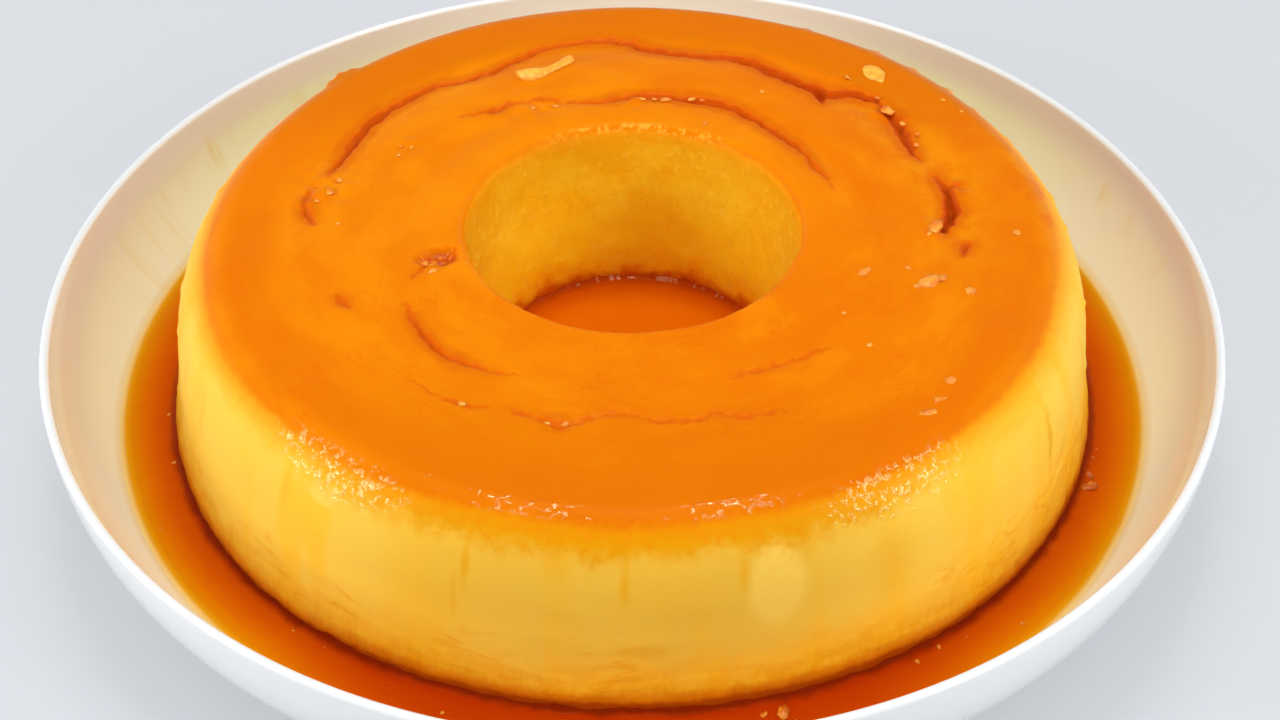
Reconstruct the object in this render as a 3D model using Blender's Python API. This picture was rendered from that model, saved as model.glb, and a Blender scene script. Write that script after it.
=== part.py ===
"""Creme caramel flan in its bowl, modelled in metres with +Z up.

A ring of baked custard has been turned out of its mould into a shallow porcelain bowl, upside down, so
that its widest end is its foot. The caramel of the mould coats its top and has run down into the bowl and
into the ring's hole. The origin is on the table under the bowl's centre, and the front is at -Y.
"""

import math

import bmesh
import bpy
import numpy as np

# Driving dimensions of the custard ring
MOULD_DIAMETER = 0.240  # the ring at its foot, which was the mould's open side
RING_HEIGHT = 0.0560
SIDE_LEAN = 0.236  # how far the side leans in for each metre that it rises
SHOULDER_WIDTH = 0.0153  # the mould's round corner, which is now the top's edge
SHOULDER_HEIGHT = 0.0317
FOOT_ROUND_WIDTH = 0.0080
FOOT_ROUND_HEIGHT = 0.0035
HOLE_FOOT_RADIUS = 0.0380
HOLE_NECK_RADIUS = 0.0405  # just under the hole's rounded lip
LIP_WIDTH = 0.0040
LIP_HEIGHT = 0.0050
TOP_SWELL = 0.0006  # the top heaves a little between its cracks

# Driving dimensions of the bowl
BOWL_DIAMETER = 0.298
BOWL_HEIGHT = 0.0435
RIM_THICKNESS = 0.0024
FLOOR_HEIGHT = 0.0070
FLOOR_RADIUS = 0.1118  # where the flat floor starts to curve up into the wall
FOOT_RING_RADIUS = 0.1040
FOOT_RING_WIDTH = 0.0070
FOOT_RING_EDGE = 0.0010
FOOT_RING_HEIGHT = 0.0022
WALL_START = 0.0028  # the height at which the outer wall leaves the foot ring

# The caramel, and the space that touching pieces keep
CARAMEL_LEVEL = 0.0150
GAP = 0.00035

# Facets
BOWL_STEPS = 72
RING_STEPS = 84
CENTRE_STEPS = 36

# Cracks in the top. Each route is (angle in degrees, radius) along the crack,
# then its greatest width and depth
CRACKS = {
    "outer_crack": ([(166, 0.0810), (153, 0.0810), (128, 0.0835), (109, 0.0840), (95, 0.0860), (86, 0.0790),
                     (68, 0.0830), (56, 0.0795), (46, 0.0800), (39, 0.0860)], 0.0060, 0.0035),
    "outer_gash": ([(37, 0.0855), (28, 0.0815), (20, 0.0800)], 0.0045, 0.0040),
    "outer_split": ([(13, 0.0830), (6, 0.0810), (1, 0.0795), (-5, 0.0760)], 0.0048, 0.0045),
    "inner_crack": ([(133, 0.0630), (119, 0.0620), (106, 0.0565), (80, 0.0560), (61, 0.0580), (39, 0.0540),
                     (16, 0.0525)], 0.0040, 0.0022),
    "left_crack": ([(213, 0.0635), (229, 0.0665), (245, 0.0645)], 0.0026, 0.0018),
    "front_crack": ([(229, 0.0775), (239, 0.0795), (250, 0.0745), (259, 0.0770), (267, 0.0730)],
                    0.0026, 0.0014),
}
CRACK_STATIONS = 22
CRACK_CLEARANCE = 0.0020  # a cutter stands this far above the top
CRACK_END_WIDTH = 0.1  # share of a crack's width that its ends keep

# A glossy pit in the top beside the hole
PIT_ANGLE = 197
PIT_RADIUS = 0.0505
PIT_SIZE = (0.0055, 0.0045, 0.0030)

# Two shreds of custard that lie on the top
SHRED_ROUTE = ((117, 0.0728), (111, 0.0715), (106, 0.0738), (102, 0.0760))
SHRED_FULLNESS = (0.7, 1.0, 0.75, 0.6)
SHRED_THICKNESS = 0.0038
SHRED_FLATNESS = 0.6
FLAKE_ANGLE = 45
FLAKE_RADIUS = 0.0945
FLAKE_LENGTH = 0.0095
FLAKE_WIDTH = 0.0056
FLAKE_THICKNESS = 0.0014
FLAKE_TURN = 70
FLAKE_NARROWING = 0.7  # how much of its width the flake loses towards its point

# Heights and radii that follow from the sizes above
RING_FOOT = FLOOR_HEIGHT + GAP
RING_TOP = RING_FOOT + RING_HEIGHT
FOOT_RADIUS = MOULD_DIAMETER / 2
SHOULDER_START = RING_TOP - SHOULDER_HEIGHT
SHOULDER_RADIUS = FOOT_RADIUS - SIDE_LEAN * (SHOULDER_START - CARAMEL_LEVEL)
TOP_OUTER_RADIUS = SHOULDER_RADIUS - SHOULDER_WIDTH
TOP_INNER_RADIUS = HOLE_NECK_RADIUS + LIP_WIDTH
RIM_RADIUS = RIM_THICKNESS / 2
RIM_HEIGHT = BOWL_HEIGHT - RIM_RADIUS
WALL_INNER_RADIUS = BOWL_DIAMETER / 2 - RIM_THICKNESS
WALL_DEPTH = RIM_HEIGHT - FLOOR_HEIGHT


def clear_scene():
    for item in list(bpy.data.objects):
        bpy.data.objects.remove(item)


def material(name, colour, roughness):
    made = bpy.data.materials.new(name)
    made.use_nodes = True
    shader = made.node_tree.nodes["Principled BSDF"]
    shader.inputs["Base Color"].default_value = (*colour, 1)
    shader.inputs["Roughness"].default_value = roughness
    shader.inputs["Metallic"].default_value = 0
    return made


def arc(centre, width, height, start, end, steps):
    """Points along an ellipse about centre = (radius, height), from one angle in degrees to another."""
    angles = np.radians(np.linspace(start, end, steps))
    return [(centre[0] + width * math.cos(a), centre[1] + height * math.sin(a)) for a in angles]


def object_from(name, bm, finish):
    mesh = bpy.data.meshes.new(name)
    bm.to_mesh(mesh)
    bm.free()
    mesh.shade_smooth()
    mesh.set_sharp_from_angle(angle=math.radians(40))
    mesh.materials.append(finish)
    made = bpy.data.objects.new(name, mesh)
    bpy.context.scene.collection.objects.link(made)
    return made


def turned(name, profile, closed, steps, finish):
    """A solid of revolution. An open profile starts and ends on the axis, and a closed one stays off it."""
    bm = bmesh.new()
    verts = [bm.verts.new((radius, 0, height)) for radius, height in profile]
    pairs = list(zip(verts, verts[1:]))
    if closed:
        pairs.append((verts[-1], verts[0]))
    edges = [bm.edges.new(pair) for pair in pairs]
    bmesh.ops.spin(bm, geom=verts + edges, cent=(0, 0, 0), axis=(0, 0, 1), angle=math.tau,
                   steps=steps, use_merge=True)
    bmesh.ops.remove_doubles(bm, verts=bm.verts, dist=1e-6)
    bmesh.ops.recalc_face_normals(bm, faces=bm.faces)
    return object_from(name, bm, finish)


def wall_height(radius):
    """Height of the bowl's inner surface at a radius from its axis."""
    if radius <= FLOOR_RADIUS:
        return FLOOR_HEIGHT
    across = (radius - FLOOR_RADIUS) / (WALL_INNER_RADIUS - FLOOR_RADIUS)
    return RIM_HEIGHT - WALL_DEPTH * math.sqrt(1 - across**2)


def wall_radius(height):
    """Radius of the bowl's inner wall at a height."""
    down = (RIM_HEIGHT - height) / WALL_DEPTH
    return FLOOR_RADIUS + (WALL_INNER_RADIUS - FLOOR_RADIUS) * math.sqrt(1 - down**2)


def make_bowl():
    ring_inside = FOOT_RING_RADIUS - FOOT_RING_WIDTH
    foot = [
        (0, FOOT_RING_HEIGHT),
        (ring_inside - FOOT_RING_EDGE, FOOT_RING_HEIGHT),
        (ring_inside + FOOT_RING_EDGE, 0),
        (FOOT_RING_RADIUS - FOOT_RING_EDGE, 0),
        (FOOT_RING_RADIUS, FOOT_RING_EDGE),
    ]
    outer_rise = RIM_HEIGHT - WALL_START
    outer_run = BOWL_DIAMETER / 2 - FOOT_RING_RADIUS
    outer = arc((FOOT_RING_RADIUS, RIM_HEIGHT), outer_run, outer_rise, -90, 0, 7)
    rim = arc((BOWL_DIAMETER / 2 - RIM_RADIUS, RIM_HEIGHT), RIM_RADIUS, RIM_RADIUS, 0, 180, 5)
    inner_run = WALL_INNER_RADIUS - FLOOR_RADIUS
    inner = arc((FLOOR_RADIUS, RIM_HEIGHT), inner_run, WALL_DEPTH, 0, -90, 9)
    porcelain = material("white_porcelain", (0.88, 0.88, 0.88), 0.12)
    profile = foot + outer + rim[1:-1] + inner + [(0, FLOOR_HEIGHT)]
    return turned("dish", profile, False, BOWL_STEPS, porcelain)


def top_profile(steps):
    """The ring's top from its shoulder in to the hole's lip, heaving a little."""
    points = []
    for share in np.linspace(0, 1, steps):
        radius = TOP_OUTER_RADIUS + share * (TOP_INNER_RADIUS - TOP_OUTER_RADIUS)
        heave = TOP_SWELL * (math.cos(2 * math.tau * share) - 1) / 2
        points.append((radius, RING_TOP + heave))
    return points


def make_ring():
    corner = (FOOT_RADIUS - FOOT_ROUND_WIDTH, RING_FOOT + FOOT_ROUND_HEIGHT)
    foot = arc(corner, FOOT_ROUND_WIDTH, FOOT_ROUND_HEIGHT, -90, 0, 4)
    side = [(FOOT_RADIUS, CARAMEL_LEVEL)]
    shoulder = arc((TOP_OUTER_RADIUS, SHOULDER_START), SHOULDER_WIDTH, SHOULDER_HEIGHT, 0, 90, 9)
    lip = arc((TOP_INNER_RADIUS, RING_TOP - LIP_HEIGHT), LIP_WIDTH, LIP_HEIGHT, 90, 180, 4)
    hole = [(HOLE_FOOT_RADIUS, CARAMEL_LEVEL), (HOLE_FOOT_RADIUS, RING_FOOT)]
    profile = foot + side + shoulder + top_profile(7)[1:-1] + lip + hole
    custard = material("baked_custard", (0.94, 0.44, 0.03), 0.3)
    return turned("flan", profile, True, RING_STEPS, custard)


def crack_cutter(route, width, depth):
    """A wedge along a crack's route, widest and deepest halfway and tapering to nothing at its ends."""
    angles = [math.radians(angle) for angle, _ in route]
    radii = [radius for _, radius in route]
    # np.interp wants rising angles, so a route that runs the other way is turned round
    order = np.argsort(angles)
    bm = bmesh.new()
    loops = []
    for share in np.linspace(0, 1, CRACK_STATIONS):
        angle = angles[0] + share * (angles[-1] - angles[0])
        radius = float(np.interp(angle, np.array(angles)[order], np.array(radii)[order]))
        taper = math.sqrt(max(math.sin(math.pi * share), 0))
        half = width / 2 * (CRACK_END_WIDTH + (1 - CRACK_END_WIDTH) * taper)
        shallow = CRACK_CLEARANCE / 4
        section = [
            (radius - half, RING_TOP + CRACK_CLEARANCE),
            (radius, RING_TOP + shallow - (depth + shallow) * taper),
            (radius + half, RING_TOP + CRACK_CLEARANCE),
        ]
        verts = [bm.verts.new((r * math.cos(angle), r * math.sin(angle), z)) for r, z in section]
        loops.append([bm.edges.new((verts[i], verts[i - 1])) for i in range(3)])
    for before, after in zip(loops, loops[1:]):
        bmesh.ops.bridge_loops(bm, edges=before + after)
    bmesh.ops.holes_fill(bm, edges=loops[0] + loops[-1])
    bmesh.ops.recalc_face_normals(bm, faces=bm.faces)
    return bm


def pit_cutter():
    """A squashed ball that hollows out the pit, lengthwise towards the hole."""
    angle = math.radians(PIT_ANGLE)
    bm = bmesh.new()
    bmesh.ops.create_icosphere(bm, subdivisions=2, radius=1)
    bmesh.ops.scale(bm, verts=bm.verts, vec=PIT_SIZE)
    cosine, sine = math.cos(angle), math.sin(angle)
    turn = np.array([[cosine, -sine, 0], [sine, cosine, 0], [0, 0, 1]])
    centre = np.array([PIT_RADIUS * math.cos(angle), PIT_RADIUS * math.sin(angle), RING_TOP])
    for vert in bm.verts:
        vert.co = turn @ np.array(vert.co) + centre
    return bm


def cut(body, name, bm, finish):
    cutter = object_from(name, bm, finish)
    cutter.hide_render = True
    cutter.display_type = "WIRE"
    tool = body.modifiers.new(name, "BOOLEAN")
    tool.operation = "DIFFERENCE"
    tool.object = cutter


def make_caramel(caramel):
    """The caramel that stands in the bowl round the ring, and in its hole."""
    inside = FOOT_RADIUS + GAP
    outside = wall_radius(CARAMEL_LEVEL) - GAP
    radii = np.linspace(outside, inside, 5)
    bed = [(radius, wall_height(radius + GAP) + GAP) for radius in radii[1:]]
    pool = [(inside, CARAMEL_LEVEL), (outside, CARAMEL_LEVEL)] + bed
    turned("caramel_pool", pool[::-1], True, BOWL_STEPS, caramel)
    radius = HOLE_FOOT_RADIUS - GAP
    foot = FLOOR_HEIGHT + GAP
    centre = [(0, foot), (radius, foot), (radius, CARAMEL_LEVEL), (0, CARAMEL_LEVEL)]
    turned("caramel_centre", centre, False, CENTRE_STEPS, caramel)


def top_point(angle, radius, lift):
    """A point above the ring's top, with the angle in degrees."""
    turn = math.radians(angle)
    return (radius * math.cos(turn), radius * math.sin(turn), RING_TOP + lift)


def make_shred(finish):
    """A bent thread of custard, thickest in its middle and flattened where it lies."""
    route = [top_point(angle, radius, 0) for angle, radius in SHRED_ROUTE]
    line = bpy.data.curves.new("custard_shred", "CURVE")
    line.dimensions = "3D"
    spline = line.splines.new("NURBS")
    spline.points.add(len(route) - 1)
    spline.use_endpoint_u = True
    spline.order_u = 3
    spline.resolution_u = 3
    for place, point, fullness in zip(route, spline.points, SHRED_FULLNESS):
        point.co = (*place, 1)
        point.radius = fullness
    line.bevel_depth = SHRED_THICKNESS / 2
    line.bevel_resolution = 2
    line.use_fill_caps = True
    line.materials.append(finish)
    shred = bpy.data.objects.new("custard_shred", line)
    bpy.context.scene.collection.objects.link(shred)
    # squashed about the ring's top, then lifted until its underside clears that top
    lift = SHRED_THICKNESS / 2 * SHRED_FLATNESS + GAP
    shred.scale.z = SHRED_FLATNESS
    shred.location.z = RING_TOP * (1 - SHRED_FLATNESS) + lift


def make_flake(finish):
    """A flat drop of custard, with its point turned towards the hole."""
    bm = bmesh.new()
    bmesh.ops.create_circle(bm, cap_ends=True, segments=16, radius=0.5)
    for vert in bm.verts:
        narrowing = 1 - FLAKE_NARROWING * max(-2 * vert.co.x, 0) ** 1.5
        vert.co.x *= FLAKE_LENGTH
        vert.co.y *= FLAKE_WIDTH * narrowing
    top = bmesh.ops.extrude_face_region(bm, geom=list(bm.faces))["geom"]
    raised = [item for item in top if isinstance(item, bmesh.types.BMVert)]
    bmesh.ops.translate(bm, verts=raised, vec=(0, 0, FLAKE_THICKNESS))
    bmesh.ops.recalc_face_normals(bm, faces=bm.faces)
    flake = object_from("custard_flake", bm, finish)
    flake.location = top_point(FLAKE_ANGLE, FLAKE_RADIUS, GAP)
    flake.rotation_euler.z = math.radians(FLAKE_ANGLE + FLAKE_TURN)
    softened = flake.modifiers.new("soft_edges", "BEVEL")
    softened.width = FLAKE_THICKNESS / 3
    softened.segments = 1
    softened.angle_limit = math.radians(60)


def main():
    clear_scene()
    make_bowl()
    ring = make_ring()
    finish = ring.data.materials[0]
    for name, (route, width, depth) in CRACKS.items():
        cut(ring, name, crack_cutter(route, width, depth), finish)
    cut(ring, "pit", pit_cutter(), finish)
    make_caramel(material("caramel", (0.42, 0.06, 0.002), 0.08))
    pale = material("pale_custard", (0.96, 0.55, 0.12), 0.4)
    make_shred(pale)
    make_flake(pale)


main()
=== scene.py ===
"""Looks of a creme caramel flan: a glazed ring of baked custard in a shallow porcelain bowl of caramel.

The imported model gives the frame. Each of its solids is replaced here by a finer piece of the same size,
and the small things that lie on the ring and in the caramel are added. Lengths here are in mm, and a piece
turns to metres as it is made. Lights and the view are in metres. +Z is up, the origin is on the table under
the bowl's centre, and the front of the ring is at -Y.
"""

import itertools
import math
import random
from functools import cached_property

import bmesh
import bpy
import numpy as np
from mathutils import Matrix, Vector, noise


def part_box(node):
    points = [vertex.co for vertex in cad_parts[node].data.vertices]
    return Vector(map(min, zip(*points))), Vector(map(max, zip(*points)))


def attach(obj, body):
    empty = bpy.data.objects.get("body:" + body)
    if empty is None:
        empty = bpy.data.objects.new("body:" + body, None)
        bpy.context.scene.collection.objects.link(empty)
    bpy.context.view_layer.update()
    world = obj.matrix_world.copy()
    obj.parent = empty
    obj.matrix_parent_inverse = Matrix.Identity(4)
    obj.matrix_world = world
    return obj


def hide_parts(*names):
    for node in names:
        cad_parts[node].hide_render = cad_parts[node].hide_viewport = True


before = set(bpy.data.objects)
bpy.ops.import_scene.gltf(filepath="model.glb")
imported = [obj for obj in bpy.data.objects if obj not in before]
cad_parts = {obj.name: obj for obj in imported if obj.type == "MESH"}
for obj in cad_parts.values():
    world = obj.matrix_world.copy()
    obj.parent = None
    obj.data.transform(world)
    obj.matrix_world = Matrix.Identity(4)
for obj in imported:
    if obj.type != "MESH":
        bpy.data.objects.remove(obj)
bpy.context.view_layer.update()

# A millimetre in the scene's metres
MM = 0.001

# Sizes read from the frame
BOWL_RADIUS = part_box("dish")[1].x / MM
BOWL_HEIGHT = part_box("dish")[1].z / MM
RING_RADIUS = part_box("flan")[1].x / MM
RING_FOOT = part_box("flan")[0].z / MM
RING_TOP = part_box("flan")[1].z / MM
CARAMEL_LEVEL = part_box("caramel_pool")[1].z / MM
WELL_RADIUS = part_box("caramel_centre")[1].x / MM
SHRED_LOW, SHRED_HIGH = [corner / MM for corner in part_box("custard_shred")]
FLAKE_LOW, FLAKE_HIGH = [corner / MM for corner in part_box("custard_flake")]

# The bowl's section
RIM_THICKNESS = 2.4
FLOOR_HEIGHT = 7.0
FLOOR_RADIUS = 111.8
FOOT_RING_RADIUS = 104.0
FOOT_RING_WIDTH = 7.0
FOOT_RING_HEIGHT = 2.2
WALL_START = 2.8
RIM_ROUND = RIM_THICKNESS / 2
RIM_CENTRE = BOWL_HEIGHT - RIM_ROUND
WALL_INNER_RADIUS = BOWL_RADIUS - RIM_THICKNESS
WALL_DEPTH = RIM_CENTRE - FLOOR_HEIGHT
OUTER_FULLNESS = 0.86

# The custard ring's section
SIDE_LEAN = 0.236
SHOULDER_WIDTH = 15.3
SHOULDER_HEIGHT = 31.7
FOOT_ROUND_WIDTH = 8.0
FOOT_ROUND_HEIGHT = 3.5
HOLE_FOOT_RADIUS = 38.0
HOLE_NECK_RADIUS = 42.0
LIP_WIDTH = 2.5
LIP_HEIGHT = 3.0
SHOULDER_START = RING_TOP - SHOULDER_HEIGHT
SHOULDER_RADIUS = RING_RADIUS - SIDE_LEAN * (SHOULDER_START - CARAMEL_LEVEL)
TOP_OUTER_RADIUS = SHOULDER_RADIUS - SHOULDER_WIDTH
TOP_INNER_RADIUS = HOLE_NECK_RADIUS + LIP_WIDTH
FRONT_TUCK = 2.9

# How finely the turned pieces are divided
BOWL_STEPS = 256
RING_STEPS = 536
POOL_STEPS = 720
WELL_STEPS = 160

# Size of the table of random numbers behind the uneven shapes
LATTICE = 24

# Where the ring is seen from
VIEW_TARGET = Vector((1.9, -30.5, BOWL_HEIGHT)) * MM
VIEW_DISTANCE = 0.4907
VIEW_DOWN = math.radians(40.75)
VIEW_LENS = 56.25
SENSOR_WIDTH = 36.0

# How bright each half of the room is where it isn't dimmed
ROOM_STRENGTH = 0.85

# Colours that more than one finish uses
PORCELAIN = (0.80, 0.81, 0.81)
PALE_CUSTARD = (0.92, 0.575, 0.070)
GLAZE = (0.745, 0.172, 0.0002)

# Cracks in the glazed top: (angle in degrees, radius in mm, half width in mm, depth in mm) along each one
CRACKS = [
    # the long crack round the back, from its left end to the bridge at its right
    [(166, 81, 0.6, 0.4), (164, 81, 1, 0.8), (159, 80.9, 1.3, 1.1), (152, 82.4, 1.5, 1.3),
     (145, 83.6, 1.4, 1.3), (139, 83.3, 1.2, 1.3), (134, 83.3, 0.9, 1.1), (129, 82.5, 0.9, 1.1),
     (124, 80.2, 0.9, 1.1), (118, 80.4, 0.9, 1.1), (112, 83.3, 0.8, 1), (106, 85.7, 0.8, 1),
     (101, 86.2, 0.8, 1), (96, 86.2, 0.9, 1), (91, 85, 1.2, 1.2), (88, 82, 1.5, 1.4),
     (84, 80.2, 1.8, 1.6), (77, 79.7, 1.6, 1.5), (71, 81.4, 1.5, 1.5), (67, 81.4, 1.8, 1.8),
     (61, 79.4, 2, 1.8), (56, 78.4, 2.3, 2), (52, 78.4, 2.5, 2), (48, 79, 2.2, 1.9),
     (45.7, 82.2, 1.9, 2), (43, 84.8, 1.5, 2), (39, 85.2, 1, 1.4)],
    # a blunt spur towards the hole
    [(50, 78.6, 2, 1.9), (48, 76.2, 1.4, 1.5), (46, 74.3, 0.6, 0.6)],
    # the ragged gash that goes on from it
    [(37.6, 85.7, 0.9, 0.9), (33.8, 84.3, 1.6, 1.5), (29.7, 82, 1.7, 1.7), (25.6, 80.2, 1.5, 1.6),
     (22.6, 79.8, 1, 1.3), (20, 79.9, 0.6, 0.8)],
    [(33, 84.2, 1.1, 1.6), (33.6, 87.4, 0.5, 0.6)],
    # the split with two horns and a foot
    [(13.8, 80.9, 0.6, 0.8), (10.4, 81.5, 1.2, 1.6), (6.7, 81.3, 1.7, 2.3), (2.8, 80.6, 1.9, 2.6),
     (-0.5, 79, 1.4, 2), (-2.7, 77.8, 0.8, 0.9)],
    [(9.6, 81.6, 1.4, 1.9), (10.4, 83.8, 0.9, 1.2), (11, 86.2, 0.5, 0.5)],
    [(-1.1, 78.8, 1.3, 1.7), (-2.8, 76.7, 0.9, 1), (-4.2, 74, 0.5, 0.5)],
    [(2.8, 80.6, 1.3, 1.8), (3.6, 83.2, 0.6, 0.6)],
    # a short one in front of it
    [(-6, 83.9, 0.6, 0.6), (-7.9, 82.4, 1.1, 1.2), (-9.8, 81.5, 0.6, 0.6)],
    # the crack that runs beside the hole at the back
    [(135, 65.5, 0.6, 0.3), (131, 63.5, 0.8, 0.6), (126, 61.6, 1.1, 0.9), (121.5, 62.2, 0.8, 0.5),
     (116, 60.4, 0.7, 0.4), (112, 58.8, 0.7, 0.4), (104, 55.4, 0.8, 0.6), (97, 54.6, 1.1, 0.9),
     (90, 56.6, 1.2, 1.1), (83, 57.2, 1.3, 1.2), (76, 57.2, 1.3, 1.3), (68, 58.2, 1.4, 1.5),
     (61, 57.8, 1.3, 1.4), (55, 56, 1.1, 1.2), (48, 54.8, 1.1, 1.1), (40, 54, 1.1, 1.1),
     (32, 53.4, 1, 0.9), (24, 52.8, 0.8, 0.7), (16, 52.6, 0.5, 0.3)],
    # the edge of the fold beside the pit
    [(204, 58, 0.4, 0.3), (201, 54, 0.7, 0.8), (198.6, 49.5, 0.8, 1), (195.4, 44.8, 0.7, 0.8)],
    # the arc at the left of the front, and the faint ones nearer the edge
    [(211, 63.2, 0.5, 0.4), (218, 64.8, 0.6, 0.9), (225, 66.4, 0.7, 1), (232, 67, 0.7, 0.9),
     (239, 66.2, 0.6, 0.6), (246, 64, 0.5, 0.2)],
    [(229, 77.6, 0.5, 0.3), (235, 78.8, 0.6, 0.4), (241, 78.6, 0.6, 0.4), (245, 76.6, 0.5, 0.2)],
    [(249, 75, 0.6, 0.3), (254, 77, 1, 0.5), (258, 77.6, 1.1, 0.7), (261, 76.4, 0.9, 0.5),
     (265, 73.2, 0.9, 0.4), (269, 72, 0.7, 0.3), (276, 74.8, 0.7, 0.3), (283, 75.2, 0.6, 0.3)],
    [(281, 75.4, 0.6, 0.3), (285, 73.8, 0.9, 0.5), (288, 76.4, 0.8, 0.5), (296, 78.6, 0.6, 0.3)],
    [(291, 63.2, 0.6, 0.3), (299, 64.2, 0.9, 0.5), (307, 65.6, 0.8, 0.4), (313, 66.8, 0.5, 0.2)],
    # nicks at the left
    [(171, 83.8, 0.6, 0.5), (175, 83.6, 0.9, 0.9), (178.5, 81.8, 1, 0.9), (181, 79.7, 0.6, 0.5)],
    [(202.6, 76.4, 0.6, 0.5), (205, 76, 1, 0.8), (207.2, 76, 0.6, 0.5)],
]

# How far the top is darkened beside a crack, by syrup gathered there and by painted shade
HALO_WIDTH = 5.0

# Where the top sinks along its two long cracks
LONG_CRACK_RADIUS = 82.5
INNER_CRACK_RADIUS = 56.5

# The glossy pit in the top beside the hole, and the crease that runs from it to the lip
PIT_ANGLE = 197
PIT_RADIUS = 50.0
PIT_LENGTH = 5.8
PIT_WIDTH = 4.0
PIT_DEPTH = 3.4
CREASE = [(205, 57.5, 0.6, -0.3), (202, 53.6, 1.2, -0.9), (200.5, 49, 1.2, -1), (197, 44.4, 1.1, -0.6)]

# Syrup runs down the side: (degrees, height in mm, half spread in degrees, half height in mm, strength)
RUNS = [
    (-108.4, 52, 0.7, 8.5, 1), (-109.6, 44, 0.6, 7, 0.5), (-98, 55, 2.2, 4, 0.6), (-90.6, 51, 0.8, 7.5, 1),
    (-88.5, 34, 5, 3, 0.6), (-77.6, 52, 1, 6, 0.8), (-70.5, 55, 1.2, 4, 0.5), (-60, 45, 4, 12, 0.4),
    (-84, 47, 5, 9, 0.2), (-31.5, 44, 0.8, 13, 1), (-27, 36, 1.3, 6, 0.6), (-118, 56, 1.4, 4, 0.4),
    (-133, 51, 1, 6, 0.4), (-152, 46, 1, 9, 0.4), (200, 44, 1, 10, 0.4), (-16, 46, 1, 9, 0.4),
    (60, 42, 1.4, 12, 0.5), (95, 50, 1.2, 9, 0.5), (128, 44, 1.6, 10, 0.5), (33, 50, 1.1, 8, 0.5),
]

# Lumps that stand out of the ring: (degrees, radius, height, size and how far out in mm)
LUMPS = [
    (139.6, 105.6, 61.6, 2.4, 1.9), (141.8, 105.8, 61.2, 1.6, 1.1), (137.6, 105.2, 61.8, 1.5, 1.1),
    (170, 108.5, 58.5, 2.2, 0.6), (62, 106, 61.4, 1.5, 0.6), (50, 106, 61, 1.8, 0.6),
    (43, 106.2, 61, 1.3, 0.7), (36, 106.8, 60.6, 1.5, 0.7), (30, 107, 60.2, 1.5, 0.5),
    (22, 107.5, 59.6, 1.3, 0.5), (9, 109, 58, 1.6, 0.6), (3, 110, 57, 1.2, 0.7), (-9, 113.5, 51, 1.3, 1.2),
    (-13, 115.5, 38, 1.6, 0.5), (-18, 117, 28, 1.8, 0.5), (194, 117, 31, 1.8, 0.6),
    (187, 115.5, 39, 1.7, 0.5), (183, 114.5, 47, 1.4, 0.5), (190, 116.5, 25, 1.8, 0.6),
    (214, 118, 24, 3, 0.6), (322, 118, 23, 2.8, 0.6), (300, 118, 22, 3, 0.5), (240, 118, 22, 3, 0.5),
]

# Places where the top is crumpled: (angle in degrees, radius in mm, size in mm, how high in mm)
CRUMPLES = [
    (169, 79, 7, 0.95), (175, 82, 4, 0.7), (117, 58.5, 7, 0.6), (126, 61, 4, 0.5), (37, 84, 5.5, 0.9),
    (28, 84.5, 4.5, 0.6), (10, 85, 4.5, 0.6), (-3, 75.5, 4, 0.8), (197, 52, 4.5, 0.5), (90, 56, 5, 0.6),
    (-19, 76, 3.5, 0.7), (150, 68, 4, 0.4), (257, 76.5, 4, 0.4), (80, 84, 5, 0.4), (52, 86, 5, 0.4),
]


# ---------------------------------------------------------------- shader writing


def math_node(operation, swapped=False):
    """A method that joins a value and another by one Math node."""

    def joined(self, other):
        values = (other, self) if swapped else (self, other)
        return self.maths(operation, *values)

    return joined


class Wire:
    """A socket that a value comes out of. Arithmetic on it adds the Math nodes."""

    def __init__(self, owner, socket):
        self.owner = owner
        self.socket = socket

    def maths(self, operation, *values, clamp=False):
        settings = {"operation": operation, "use_clamp": clamp}
        return self.owner.node("ShaderNodeMath", settings, dict(enumerate(values)))

    __add__ = __radd__ = math_node("ADD")
    __sub__, __rsub__ = math_node("SUBTRACT"), math_node("SUBTRACT", swapped=True)
    __mul__ = __rmul__ = math_node("MULTIPLY")
    __truediv__, __pow__ = math_node("DIVIDE"), math_node("POWER")
    least, most = math_node("MINIMUM"), math_node("MAXIMUM")

    def size(self):
        return self.maths("ABSOLUTE", self)

    def held(self):
        """The value kept between 0 and 1."""
        return self.maths("ADD", self, 0.0, clamp=True)

    def rise(self, low, high):
        """0 below low, 1 above high, and smooth between them. With low above high it falls instead."""
        settings = {"interpolation_type": "SMOOTHSTEP", "clamp": True}
        ends = (low, high, 0.0, 1.0) if low < high else (high, low, 1.0, 0.0)
        return self.owner.node("ShaderNodeMapRange", settings, dict(enumerate((self, *ends))))


class Nodes:
    """A tree of shader nodes."""

    def __init__(self, tree):
        self.tree = tree

    def node(self, kind, settings=None, sockets=None, outlet=0):
        """Adds a node with its settings, then its values or links, and gives back one of its outlets."""
        made = self.tree.nodes.new(kind)
        for name, value in (settings or {}).items():
            setattr(made, name, value)
        for name, value in (sockets or {}).items():
            if isinstance(value, Wire):
                self.tree.links.new(value.socket, made.inputs[name])
            else:
                made.inputs[name].default_value = value
        return Wire(self, made.outputs[outlet])

    def dot(self, vector, aim):
        """How far a vector points along another, which stays the same."""
        return self.node("ShaderNodeVectorMath", {"operation": "DOT_PRODUCT"}, {0: vector, 1: aim}, "Value")


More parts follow.
